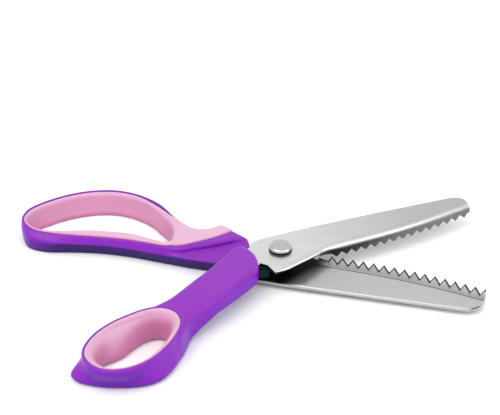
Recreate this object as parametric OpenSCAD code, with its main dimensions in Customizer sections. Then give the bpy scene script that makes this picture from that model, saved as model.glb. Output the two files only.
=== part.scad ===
// Pinking shears with moulded two-colour handles, resting open.
// Origin: foot of the pivot axis, on the flat underside of the pivot nut. +Z is the pivot axis,
// +X points to the blade tips, and the finger loop lies towards -X, +Y.

/* [Blades] */
// Thickness of each blade plate
plate_t = 1.8; // [1.4:0.1:2.2]
// Distance between the facing sides of the two plates
plate_gap = 6.8; // [6.2:0.1:7.4]
// Length of each blade from the pivot to its tip
blade_l = 98; // [90:1:104]
// Opening angle between the two toothed edges at rest
open_angle = 49.4; // [44:0.2:52]
// Distance of each toothed edge's outer face from the pivot
edge_off = 9.1; // [8.6:0.1:9.6]
// How far each toothed edge bows outwards between the pivot and the tip
edge_rise = 2.1; // [0:0.1:2.6]
// Radius of the outer bend between a plate and its toothed wall
bend_r = 3.4; // [2.8:0.1:4]

/* [Teeth] */
// Tooth pitch, measured out from the pivot
tooth_pitch = 4.88; // [4.6:0.02:5.1]
// Tooth height, tip to valley
tooth_h = 2.3; // [1.6:0.1:2.6]
// Distance from the pivot to the lower blade's first tooth tip
first_tip_r = 24.1; // [23.5:0.1:25.5]
// Depth of the lower blade's notches, relieved below the upper blade's tips
notch_h = 3.6; // [2.3:0.1:3.8]
// Number of teeth on each blade
tooth_count = 16; // [12:1:17]
// Gap between meshing tooth faces
mesh_gap = 0.12; // [0.06:0.02:0.3]

/* [Pivot] */
// Diameter of the pivot screw's shank
shank_d = 5; // [4:0.1:6]
// Running clearance on the shank's radius
pivot_clear = 0.05; // [0.02:0.01:0.1]
// Diameter of the screw's head
head_d = 10.6; // [10:0.1:11]
// Height of the screw's head
head_h = 2.3; // [2:0.1:2.6]
// Diameter of the nut
nut_d = 12.4; // [11:0.2:13]

/* [Handles] */
// Height of the underside of both loops
loop_z = 0; // [0:0.1:0.6]
// Height of the thumb handle's top face
thumb_top_z = 16.1; // [15.6:0.1:16.6]
// Height of the finger loop's rim
finger_top_z = 10.9; // [10.6:0.1:11.4]
// Thickness of the hard shell around each soft lining at the rim
rim_t = 1.1; // [0.8:0.1:1.6]
// Depth of the thumb loop's soft lining, from the rim to the inside of the loop
grip_t = 5; // [4:0.1:5.6]

/* [Hidden] */
$fn = 96;
skin = 0.05;              // gap between a soft lining and its shell, and around each tang
slide_gap = 0.06;         // gap between faces that slide
rest_gap = 0.02;          // gap between faces that rest on each other
nut_h = 1.4;
spring_h = 0.8;
washer_h = 0.3;
screw_end_z = 0.5;                         // the screw's end, inside the nut
low_z = nut_h + spring_h;                  // underside of the lower plate
low_top = low_z + plate_t;
up_z = low_top + plate_gap;                // underside of the upper plate
up_top = up_z + plate_t;
head_z = up_top + washer_h;                // underside of the screw's head
mid_z = (low_top + up_z) / 2;              // height at which the teeth meet
low_dir = -21.1;                           // direction of the lower toothed edge
up_dir = low_dir + open_angle;
wall_x = 15;                               // each toothed wall starts this far along its blade
bow_x = 20;                                // and its bow starts here
wall_h = 9;                                // height of a wall before the teeth are cut
flat_r = 22.7;                             // the edge is plain inside this radius
low_plain_z = mid_z - 1.7;                 // plain edge of the lower blade near the pivot
up_plain_z = up_z - 0.5;                   // the same on the upper blade
cut_r = blade_l + 20;                      // the zigzag surfaces reach beyond the tips
cut_bottom = -5;                           // cutting shapes start below the part
cut_top = 30;                              // and end above it
steps = 4;                                 // curve points for each control point
rim_slope = 0.055;                         // the thumb loop's rim falls away from the pivot along Y
rim_ref_y = -52;                           // where that rim is at its full height
neck_dir = 235.3;                          // direction of the thumb handle's neck
neck_under_z = mid_z + 0.25;               // underside of that neck where it passes over the finger handle
heel_step_z = low_top + 4.8;               // step in the heel block's near face
bore_overrun = 1;                          // cutters pass this far beyond the faces that they cut
hole_top = 20;                             // the loops' holes are drawn up to this height
tongue_t = 1.6;                            // depth of the soft tongue on the finger handle

// closed smooth curve through control points
function cr(a, b, c, d, t) = 0.5 * (2 * b + (c - a) * t + (2 * a - 5 * b + 4 * c - d) * t * t
                                    + (3 * b - a - 3 * c + d) * t * t * t);
function smooth(p, n = steps) = [for (i = [0:len(p) - 1], k = [0:n - 1])
    cr(p[(i + len(p) - 1) % len(p)], p[i], p[(i + 1) % len(p)], p[(i + 2) % len(p)], k / n)];
// closed curve moved inwards by d; the points run counter-clockwise
function inset(p, d) = [for (i = [0:len(p) - 1])
    let (q = p[(i + 1) % len(p)] - p[(i + len(p) - 1) % len(p)])
    p[i] + d * [-q.y, q.x] / norm(q)];
// points lifted to height z, with slope k along Y measured from y0
function lift(p, z, k = 0, y0 = 0) = [for (q = p) [q.x, q.y, z + k * (q.y - y0)]];
function arc(c, r, a, b, n = 10) = [for (k = [0:n]) c + r * [cos(a + (b - a) * k / n),
                                                             sin(a + (b - a) * k / n)]];
// solid through a stack of closed curves, lowest first
module stack(rings) {
    n = len(rings[0]);
    m = len(rings);
    polyhedron([for (r = rings, q = r) q],
        concat([[for (i = [0:n - 1]) i]],
               [for (j = [0:m - 2], i = [0:n - 1])
                   [j * n + i, (j + 1) * n + i, (j + 1) * n + (i + 1) % n, j * n + (i + 1) % n]],
               [[for (i = [n - 1:-1:0]) (m - 1) * n + i]]), convexity = 8);
}

// ---- blades, drawn along +X with the toothed wall on the +Y side ----
// zigzags in which the toothed edges meet, as [distance from the pivot, height]
tip_z = mid_z + tooth_h / 2;
function zig(inner, notch) = concat(inner,
    [for (i = [0:tooth_count]) each [
        [first_tip_r + i * tooth_pitch, tip_z],
        [first_tip_r + (i + 0.5) * tooth_pitch, tip_z - notch]]],
    [[first_tip_r + (tooth_count + 1) * tooth_pitch, tip_z], [cut_r, tip_z]]);
low_zig = zig([[0, low_plain_z], [flat_r, low_plain_z]], notch_h);
up_zig = zig([[0, up_plain_z], [wall_x, up_plain_z], [flat_r - 1, tip_z + 0.4]], tooth_h);
module zig_solid(zigzag, shift, end_z) {
    rotate_extrude($fn = 180)
        polygon(concat([[0, end_z]], [for (p = zigzag) [p.x, p.y + shift]], [[cut_r, end_z]]));
}
// plate outline with its heel, rounded rear and tapering back
function plate_pts(back0, back1) = concat(
    arc([blade_l - 4.6, back1 + 4.2], 4.2, -80, -10, 6),
    [[blade_l + 0.4, 4], [blade_l - 0.6, edge_off - 1]],
    [[22, 8.6], [wall_x + 4, 9], [wall_x + 1.5, 9.8]],
    [[14, 10.5], [9.1, 11.7], [3.2, 13], [-2.9, 14.4], [-8.4, 15.1]],
    [[-11.2, 15.3], [-11.9, 15], [-12.1, 14.2], [-11.7, 12.6], [-11.4, 10.5], [-11.4, 8.6]],
    [[-12.4, 7.4], [-14.2, 5.6], [-14.2, -6]],
    arc([-7.6, back0 + 4.6], 4.6, -150, -92, 5),
    [[0, back0], [5, back0 + 0.1]]);
function edge_bow(x) = edge_rise * sin(180 * max(0, (x - bow_x) / (blade_l - bow_x)));
module wall() {
    // toothed wall: a bent strip that follows the bowed edge, z measured from the outside of its plate
    root_y = edge_off - bend_r - 3.5;
    section = concat(
        [[root_y, 0]],
        [for (a = [-90:15:0]) [edge_off - bend_r + bend_r * cos(a), bend_r + bend_r * sin(a)]],
        [[edge_off, wall_h], [edge_off - plate_t, wall_h]],
        [[edge_off - plate_t - 0.9, plate_t], [root_y, plate_t]]);
    stations = concat([wall_x - 1], [for (x = [bow_x:3:blade_l]) x]);
    stack([for (x = stations) [for (p = section) [x, p.x + edge_bow(x), p.y]]]);
}
module blade(back0, back1) {
    // the child is the tang's outline
    difference() {
        union() {
            linear_extrude(plate_t)
                union() {
                    polygon([for (p = plate_pts(back0, back1))
                        p.x > 21 && p.y > 5 ? [p.x, edge_off - bend_r] : p]);
                    children();
                }
            intersection() {
                wall();
                translate([0, 0, -1])
                    linear_extrude(wall_h + 2)
                        polygon([[wall_x, 0], [blade_l - 0.4, 0], [blade_l - 0.2, edge_off - 3],
                                 [blade_l - 1, edge_off - 0.6], [blade_l - 1.8, edge_off + 4],
                                 [wall_x + 1.5, edge_off + 4], [wall_x, edge_off - 2]]);
            }
        }
        translate([0, 0, -bore_overrun])
            cylinder(d = shank_d + 2 * pivot_clear, h = plate_t + 2 * bore_overrun);
    }
}
thumb_tang = [[-9, -12.4], [-14, 2.4], [-22, -9.5], [-31, -24.5], [-36.5, -35], [-31, -38.5],
              [-24, -30.5], [-16, -20]];
finger_tang = [[-7, 12], [-10, -8], [-20, 1], [-34, 3.4], [-46, 5.5], [-46, 12.5], [-34, 13.2], [-20, 13.5]];

module lower_blade() {
    color("silver")
        intersection() {
            translate([0, 0, low_z])
                rotate(low_dir)
                    blade(-14.6, -3.4)
                        rotate(-low_dir)
                            polygon(finger_tang);
            zig_solid(low_zig, -mesh_gap / 2, cut_bottom);
        }
}
module upper_blade() {
    color("silver")
        intersection() {
            translate([0, 0, up_top])
                mirror([0, 0, 1])
                    rotate(up_dir)
                        mirror([0, 1, 0])
                            blade(-12, -0.8)
                                mirror([0, 1, 0])
                                    rotate(-up_dir)
                                        polygon(thumb_tang);
            zig_solid(up_zig, mesh_gap / 2, cut_top);
        }
}

// ---- pivot ----
module pivot_screw() {
    color("gainsboro")
        rotate_extrude()
            polygon([[0, screw_end_z], [shank_d / 2, screw_end_z], [shank_d / 2, head_z + slide_gap],
                     [head_d / 2, head_z + slide_gap],
                     [head_d / 2, head_z + head_h - 0.8],
                     [head_d / 2 - 0.25, head_z + head_h - 0.45],
                     [head_d / 2 - 0.75, head_z + head_h - 0.05],
                     [head_d / 2 - 0.95, head_z + head_h],
                     [0, head_z + head_h]]);
}
module ring(r_out, r_in, z, h) {
    translate([0, 0, z])
        difference() {
            cylinder(r = r_out, h = h);
            translate([0, 0, -bore_overrun])
                cylinder(r = r_in, h = h + 2 * bore_overrun);
        }
}
module head_washer() {
    color("dimgray")
        ring(head_d / 2 + 0.15, shank_d / 2 + pivot_clear, up_top + slide_gap, washer_h - slide_gap / 2);
}
module pivot_bush() {
    color("darkslategray")
        ring(shank_d / 2 + 1.6, shank_d / 2 + pivot_clear, low_top + rest_gap,
             plate_gap - rest_gap - slide_gap);
}
module spring_washer() {
    color("gray")
        ring(nut_d / 2 - 1.2, shank_d / 2 + pivot_clear, nut_h + rest_gap, spring_h - 2 * rest_gap);
}
module pivot_nut() {
    color("gainsboro")
        difference() {
            rotate_extrude()
                polygon([[0, 0], [nut_d / 2 - 0.5, 0], [nut_d / 2, 0.5], [nut_d / 2, nut_h - 0.2],
                         [nut_d / 2 - 0.2, nut_h], [0, nut_h]]);
            translate([0, 0, screw_end_z - rest_gap])
                cylinder(r = shank_d / 2 + rest_gap, h = nut_h);
        }
}
// nylon block that keeps the plates apart in front of the thumb handle
module heel_block() {
    color("darkslategray")
        difference() {
            translate([0, 0, low_top + rest_gap])
                linear_extrude(plate_gap - rest_gap - slide_gap)
                    polygon(concat([[-10.7, -4.6], [-10.7, -8.6], [-9.9, -11.4]],
                                   arc([-6.6, -9.7], 1.7, -90, 0, 6), arc([-6.2, -5.4], 0.8, 0, 90, 3)));
            translate([-12, -12.4, heel_step_z])
                cube([8, 1.5, 4]);
        }
}

// ---- thumb handle ----
thumb_rim = smooth([[-88.2, -81], [-86.9, -88.6], [-82, -94.4], [-74.6, -96.5], [-65.6, -94.4],
                    [-56.8, -87.6], [-49.6, -77.4], [-45.4, -67.8], [-44.2, -60.3], [-46.8, -53.6],
                    [-53.4, -50], [-61, -51.4], [-68.6, -55.6], [-77.3, -62.2], [-84.6, -71.2]]);
thumb_foot = smooth([[-93.2, -82.6], [-91.4, -87.4], [-84.8, -90.8], [-75.5, -92.5], [-63.4, -92],
                     [-54, -88], [-47.9, -79.3], [-44.1, -68.7], [-42.3, -60.6], [-43.9, -54],
                     [-52.5, -51.4], [-60.7, -53.4], [-68, -57.4], [-77.4, -64.4], [-86.8, -73.2]]);
thumb_well = smooth([[-86.5, -80.5], [-84.5, -85.9], [-80, -88.8], [-74.5, -89.8], [-66, -88.4],
                     [-57.8, -83.8], [-51.2, -76], [-47.2, -67.3], [-45.9, -60.8], [-48.1, -55.2],
                     [-54, -52.6], [-60.6, -53.9], [-68, -58], [-76.2, -64.6], [-83.2, -72.6]]);
thumb_neck = smooth([[-10.2, -15.4], [-11.7, -8.6], [-14.7, -3.8], [-18.6, -1.6], [-23, -5.2],
                     [-32.2, -19], [-41.2, -31.2], [-50.2, -42.4], [-58, -49.8], [-57, -57],
                     [-50, -62.5], [-44.2, -64.6], [-42.6, -62.2], [-40.4, -57.6],
                     [-36.3, -52.8], [-27.5, -43.9], [-18.4, -32.3], [-12.6, -24.4], [-10.5, -20.4]]);
module thumb_outer() {
    union() {
        stack([lift(inset(thumb_foot, 1), loop_z), lift(inset(thumb_foot, 0.3), loop_z + 0.6),
               lift(thumb_foot, loop_z + 2.2),
               lift(inset(thumb_rim, -0.5), thumb_top_z - 4.6, rim_slope / 2, rim_ref_y),
               lift(inset(thumb_rim, -0.2), thumb_top_z - 1.4, rim_slope, rim_ref_y),
               lift(thumb_rim, thumb_top_z - 0.7, rim_slope, rim_ref_y)]);
        difference() {
            stack([lift(inset(thumb_neck, 1.4), loop_z + 1), lift(inset(thumb_neck, 0.3), mid_z + 1.2),
                   lift(inset(thumb_neck, -0.1), mid_z + 3), lift(thumb_neck, thumb_top_z - 1.5),
                   lift(inset(thumb_neck, 0.6), thumb_top_z - 0.5),
                   lift(inset(thumb_neck, 1.8), thumb_top_z)]);
            // the underside rises in front of the loop so that the neck passes over the finger handle
            rotate(neck_dir)
                translate([0, 40, 0])
                    rotate([90, 0, 0])
                        linear_extrude(80)
                            polygon([[-5, cut_bottom], [-5, neck_under_z], [53, neck_under_z],
                                     [72, loop_z + 1.6], [80, cut_bottom]]);
        }
    }
}
module thumb_hole(d) {
    stack([lift(inset(thumb_well, d + 0.4), loop_z - 2),
           lift(inset(thumb_rim, rim_t + d), hole_top)]);
}
module thumb_handle() {
    color("mediumorchid")
        resize([0, 0, thumb_top_z - loop_z])
        difference() {
            thumb_outer();
            thumb_hole(0);
            translate([0, 0, up_z - skin])
                linear_extrude(plate_t + 2 * skin)
                    offset(delta = skin)
                        polygon(thumb_tang);
        }
}
module thumb_grip() {
    color("pink")
        resize([0, 0, thumb_top_z - loop_z - 1.1])
        difference() {
            intersection() {
                thumb_hole(skin);
                stack([lift(inset(thumb_rim, -6), loop_z + 0.4),
                       lift(inset(thumb_rim, -6), thumb_top_z - 0.7, rim_slope, rim_ref_y)]);
            }
            stack([lift(inset(thumb_well, grip_t - 2.2), loop_z - 1),
                   lift(inset(thumb_well, grip_t - 1.4), loop_z + 2.6),
                   lift(inset(thumb_well, grip_t - 1), loop_z + 6),
                   lift(inset(thumb_rim, grip_t - 0.8), thumb_top_z - 5, rim_slope, rim_ref_y),
                   lift(inset(thumb_rim, 2.8), thumb_top_z - 1.9, rim_slope, rim_ref_y),
                   lift(inset(thumb_rim, rim_t + 0.7), thumb_top_z + 0.4, rim_slope, rim_ref_y)]);
        }
}

// ---- finger handle ----
finger_rim = smooth([[-122, 30.2], [-120.4, 24.8], [-115.8, 20.2], [-108, 17.4], [-98.5, 15.4],
                     [-89.1, 14.1], [-79.7, 12.8], [-70.3, 11], [-60.8, 8.2], [-53, 6.2],
                     [-47.2, 9.6], [-45.2, 17], [-46.4, 26], [-50.8, 33.6], [-56.8, 41.7],
                     [-66.3, 49.4], [-76.1, 53.4], [-85.9, 54], [-95.4, 52.2], [-104.8, 48.3],
                     [-113.8, 42.6], [-119.6, 36.9]]);
finger_well = smooth([[-117, 30.5], [-116.2, 27.3], [-113, 24.4], [-106.6, 22.2], [-97.7, 20.3],
                      [-88.4, 19.1], [-78.8, 17.7], [-69, 15.8], [-60.2, 13.2], [-54.2, 12.8],
                      [-50.8, 16.6], [-51.2, 24.3], [-54.9, 30.7], [-60.4, 38.2], [-68.6, 45],
                      [-76.9, 48.5], [-85.4, 49], [-93.8, 47.5], [-102.4, 43.9], [-110.6, 38.9],
                      [-115.6, 34.2]]);
finger_low = smooth([[-122.1, 30.8], [-121.4, 24.4], [-118, 18.4], [-109, 14.5], [-99, 13.9],
                     [-89.1, 13.4], [-79.7, 12], [-70.2, 9.8], [-60.8, 6.7], [-51.4, 3.6],
                     [-42, 0.6], [-30.4, -2.3], [-20.6, -4.3], [-14.9, -3.6], [-13.5, 3],
                     [-12.9, 12.4], [-16.2, 16.7], [-22.6, 20], [-27.8, 23.4], [-33, 20.7],
                     [-37.8, 20], [-41.9, 21.8], [-46, 26.6], [-50.4, 33.2], [-56.3, 41.1],
                     [-66, 48.8], [-76, 52.8], [-85.9, 53.4], [-95.2, 51.6], [-104.6, 47.7],
                     [-113.5, 42], [-119.5, 36.5]]);
finger_high = smooth([[-60.5, 9], [-53, 5.2], [-46.7, 4.6], [-42.1, 6], [-37.5, 7.6], [-32.8, 9.3],
                      [-28.2, 11.2], [-23.5, 13.3], [-18.8, 15.1], [-14.9, 15.4], [-16.2, 17.1],
                      [-22.6, 20.6], [-27.8, 24.1], [-33, 21.4], [-37.6, 20.7], [-42.2, 22.4],
                      [-46.6, 27.4], [-52.8, 34], [-60, 25], [-62, 15]]);
finger_tongue = smooth([[-60, 16], [-54, 9.6], [-47, 7.2], [-39.4, 10], [-32.8, 13], [-27.4, 16],
                        [-23.6, 18.8], [-25.2, 21], [-27.8, 22.9], [-33, 20.2], [-37.8, 19.5],
                        [-42.8, 21], [-46, 25], [-49.8, 29.8], [-54.5, 31], [-60, 24]]);
module finger_slope() {
    // the neck's top falls to the ledge at its front end
    rotate([90, 0, 0])
        translate([0, 0, -60])
            linear_extrude(90)
                polygon([[-27, cut_top], [-27, finger_top_z + 0.45], [-13, mid_z + 0.2], [-5, mid_z],
                         [-5, cut_top]]);
}
module finger_outer() {
    union() {
        stack([lift(inset(finger_low, 2), loop_z), lift(inset(finger_low, 1.2), loop_z + 0.8),
               lift(finger_low, mid_z - 1.2), lift(inset(finger_low, 0.2), mid_z - 0.35),
               lift(inset(finger_low, 0.5), mid_z - 0.2)]);
        stack([lift(inset(finger_rim, 1), mid_z - 2), lift(inset(finger_rim, 0), mid_z + 0.6),
               lift(finger_rim, finger_top_z - 0.8), lift(inset(finger_rim, 0.3), finger_top_z)]);
        difference() {
            stack([lift(finger_high, mid_z - 1), lift(finger_high, finger_top_z - 0.9),
                   lift(inset(finger_high, 0.9), finger_top_z)]);
            finger_slope();
        }
    }
}
module finger_hole(d) {
    stack([lift(inset(finger_rim, rim_t + 2.4 + d), loop_z - 2),
           lift(inset(finger_rim, rim_t + d), hole_top)]);
}
module finger_handle() {
    color("mediumorchid")
        resize([0, 0, finger_top_z - loop_z])
        difference() {
            finger_outer();
            finger_hole(0);
            stack([lift(finger_tongue, finger_top_z - tongue_t), lift(finger_tongue, finger_top_z + 2)]);
            translate([0, 0, low_z - skin])
                linear_extrude(plate_t + 2 * skin)
                    offset(delta = skin)
                        polygon(finger_tang);
        }
}
module finger_grip() {
    color("pink")
        resize([0, 0, finger_top_z - loop_z - 0.2])
        difference() {
            union() {
                intersection() {
                    finger_hole(skin);
                    stack([lift(inset(finger_rim, -3), loop_z + 0.4),
                           lift(inset(finger_rim, -3), finger_top_z)]);
                }
                intersection() {
                    stack([lift(inset(finger_tongue, skin), finger_top_z - tongue_t + skin),
                           lift(inset(finger_tongue, skin), finger_top_z - 0.3),
                           lift(inset(finger_tongue, 0.6), finger_top_z + 0.2)]);
                    translate([-64, -10, 0])
                        cube([60, 50, 20]);
                }
            }
            stack([lift(inset(finger_well, -0.6), loop_z - 1),
                   lift(finger_well, loop_z + 2.4),
                   lift(finger_well, finger_top_z - 4),
                   lift(inset(finger_well, -0.6), finger_top_z - 1.4),
                   lift(inset(finger_well, -2), finger_top_z + 0.15),
                   lift(inset(finger_well, -2), hole_top)]);
        }
}

lower_blade();
upper_blade();
pivot_screw();
head_washer();
pivot_bush();
spring_washer();
pivot_nut();
heel_block();
thumb_handle();
thumb_grip();
finger_handle();
finger_grip();
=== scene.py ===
"""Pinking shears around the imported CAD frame: detailed handles, linings, blades and pivot."""
import bpy
import math
import numpy as np
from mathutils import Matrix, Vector


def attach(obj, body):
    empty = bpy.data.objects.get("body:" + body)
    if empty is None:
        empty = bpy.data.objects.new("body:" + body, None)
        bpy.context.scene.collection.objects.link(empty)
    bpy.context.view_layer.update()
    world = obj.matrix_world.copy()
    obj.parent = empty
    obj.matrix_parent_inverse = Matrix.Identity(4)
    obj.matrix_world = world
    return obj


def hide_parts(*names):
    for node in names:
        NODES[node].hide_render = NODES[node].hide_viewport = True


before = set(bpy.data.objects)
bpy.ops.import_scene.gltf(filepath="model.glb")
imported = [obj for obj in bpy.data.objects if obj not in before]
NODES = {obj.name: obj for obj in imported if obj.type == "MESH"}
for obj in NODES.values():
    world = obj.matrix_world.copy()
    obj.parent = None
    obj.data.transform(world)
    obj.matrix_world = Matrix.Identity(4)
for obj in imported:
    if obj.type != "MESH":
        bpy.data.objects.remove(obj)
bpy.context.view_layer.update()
MM = 0.001

# ---------------------------------------------------------------- sizes shared with the CAD, in mm
LOW_Z, PLATE_T, PLATE_GAP = 2.2, 1.8, 6.8
LOW_TOP = LOW_Z + PLATE_T
UP_Z = LOW_TOP + PLATE_GAP
UP_TOP = UP_Z + PLATE_T
MID_Z = (LOW_TOP + UP_Z) / 2
LOW_DIR, UP_DIR = -21.1, 28.3
EDGE, BEND = 9.1, 3.4
PITCH, TIP_R, TOOTH_H, NOTCH_H, FLAT_R = 4.88, 24.1, 2.3, 3.6, 22.7
EDGE_RISE = 2.1
LINE_Y = EDGE - 3.05
PLAIN_Z = MID_Z - 1.7
MESH_GAP = 0.06
BLADE_L = 98.0
THUMB_TOP, FINGER_TOP = 16.1, 10.9
HEAD_TOP = UP_TOP + 0.3 + 2.3


# ---------------------------------------------------------------- camera, floor and light
CAMERA_TILT = 33                         # degrees down from level
CAMERA_DIST = 1.4                        # m from the screw head
CAMERA_LENS = 217.512                    # mm, on a 36 mm sensor
CAMERA_LEFT, CAMERA_UP = 14.1344, 17.2857  # mm off the line through the screw head


def camera():
    tilt = math.radians(CAMERA_TILT)
    fwd = Vector((0, math.cos(tilt), -math.sin(tilt)))
    up = Vector((0, math.sin(tilt), math.cos(tilt)))
    right = Vector((1, 0, 0))
    pivot = Vector((0, 0, HEAD_TOP * MM))
    cam = bpy.data.cameras.new("camera")
    cam.sensor_width = 36
    cam.lens = CAMERA_LENS
    cam.clip_end = 20
    o = bpy.data.objects.new("camera", cam)
    o.location = pivot - fwd * CAMERA_DIST - right * CAMERA_LEFT * MM + up * CAMERA_UP * MM
    o.rotation_euler = (math.pi / 2 - tilt, 0, 0)
    bpy.context.scene.collection.objects.link(o)
    bpy.context.scene.camera = o


camera()
bpy.context.scene.view_settings.view_transform = "Standard"


def area_light(name, loc, target, size, power, colour=(1, 1, 1)):
    light = bpy.data.lights.new(name, "AREA")
    light.shape = "RECTANGLE"
    light.size, light.size_y = size
    light.energy = power
    light.color = colour
    o = bpy.data.objects.new(name, light)
    o.location = loc
    o.rotation_euler = (Vector(target) - Vector(loc)).to_track_quat("-Z", "Y").to_euler()
    bpy.context.scene.collection.objects.link(o)


class Nodes:
    """Short form for building a node tree."""

    def __init__(self, tree):
        self.t = tree
        tree.nodes.clear()

    def __call__(self, kind, inputs=None, **props):
        n = self.t.nodes.new(kind)
        for k, v in props.items():
            setattr(n, k, v)
        for k, v in (inputs or {}).items():
            if isinstance(v, bpy.types.NodeSocket):
                self.t.links.new(v, n.inputs[k])
            else:
                n.inputs[k].default_value = v
        return n

    def ramp(self, fac, stops, interpolation="LINEAR"):
        n = self("ShaderNodeValToRGB", {"Fac": fac})
        cr = n.color_ramp
        cr.interpolation = interpolation
        while len(cr.elements) < len(stops):
            cr.elements.new(0.5)
        for e, (p, c) in zip(cr.elements, stops):
            e.position = p
            e.color = (*c, 1) if len(c) == 3 else c
        return n.outputs["Color"]

    def mix(self, fac, a, b, blend="MIX"):
        n = self("ShaderNodeMix", {"Factor": fac}, data_type="RGBA", blend_type=blend)
        for name, v in (("A", a), ("B", b)):
            s = [i for i in n.inputs if i.name == name and i.type == "RGBA"][0]
            if isinstance(v, bpy.types.NodeSocket):
                self.t.links.new(v, s)
            else:
                s.default_value = (*v, 1) if len(v) == 3 else v
        return [o for o in n.outputs if o.type == "RGBA"][0]

    def math(self, op, a, b=0.5, c=0.5, clamp=False):
        n = self("ShaderNodeMath", operation=op, use_clamp=clamp)
        for i, v in enumerate((a, b, c)):
            if isinstance(v, bpy.types.NodeSocket):
                self.t.links.new(v, n.inputs[i])
            else:
                n.inputs[i].default_value = v
        return n.outputs[0]

    def map_range(self, v, a, b, c=0.0, d=1.0, smooth=False):
        n = self("ShaderNodeMapRange", {"Value": v, "From Min": a, "From Max": b, "To Min": c, "To Max": d})
        n.interpolation_type = "SMOOTHSTEP" if smooth else "LINEAR"
        return n.outputs["Result"]

    def noise(self, vec, scale, detail=3, rough=0.5):
        return self("ShaderNodeTexNoise", {"Vector": vec, "Scale": scale, "Detail": detail,
                                           "Roughness": rough}).outputs["Fac"]

    def coords(self, turn=0.0, scale=(1, 1, 1)):
        tc = self("ShaderNodeTexCoord").outputs["Object"]
        return self("ShaderNodeMapping", {"Vector": tc, "Rotation": (0, 0, math.radians(turn)),
                                          "Scale": scale}).outputs["Vector"]


def floor_and_light():
    """A pale floor under two lights and a grey world whose brightness turns round the X axis."""
    w = bpy.data.worlds.new("studio")
    bpy.context.scene.world = w
    w.use_nodes = True
    n = Nodes(w.node_tree)
    d = n("ShaderNodeSeparateXYZ", {"Vector": n("ShaderNodeTexCoord").outputs["Generated"]}).outputs
    turn = n.math("DIVIDE", n.math("ARCTAN2", d["Z"], d["Y"]), math.pi)
    grey = [(0.0, 0.62), (33 / 180, 0.66), (58 / 180, 0.50), (78 / 180, 0.62), (91 / 180, 0.66),
            (99 / 180, 1.0), (135 / 180, 1.0), (160 / 180, 0.55), (1.0, 0.5)]
    col = n.ramp(turn, [(p, (g, g, g * 1.005)) for p, g in grey])
    bg = n("ShaderNodeBackground", {"Color": col, "Strength": 1.7})
    n("ShaderNodeOutputWorld", {"Surface": bg.outputs[0]})
    mesh = bpy.data.meshes.new("floor")
    s = 6.0
    mesh.from_pydata([(-s, -s, 0), (s, -s, 0), (s, s, 0), (-s, s, 0)], [], [(0, 1, 2, 3)])
    o = bpy.data.objects.new("floor", mesh)
    bpy.context.scene.collection.objects.link(o)
    m = bpy.data.materials.new("floor_pale")
    m.use_nodes = True
    n = Nodes(m.node_tree)
    v = n.noise(n.coords(scale=(1, 1, 1)), 40, 2)
    col = n.ramp(v, [(0, (0.86, 0.86, 0.86)), (1, (0.88, 0.88, 0.88))])
    b = n("ShaderNodeBsdfPrincipled", {"Base Color": col, "Roughness": 0.8})
    n("ShaderNodeOutputMaterial", {"Surface": b.outputs[0]})
    mesh.materials.append(m)
    area_light("key", (-0.5, -0.3, 1.1), (0, 0, 0), (0.7, 0.7), 3.5)
    area_light("side", (0.9, -0.3, 0.6), (0, 0, 0), (0.5, 0.5), 1.2)


floor_and_light()


# ---------------------------------------------------------------- materials
def material(name, build):
    m = bpy.data.materials.new(name)
    m.use_nodes = True
    n = Nodes(m.node_tree)
    bsdf = build(n)
    n("ShaderNodeOutputMaterial", {"Surface": bsdf.outputs[0]})
    return m


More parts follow.
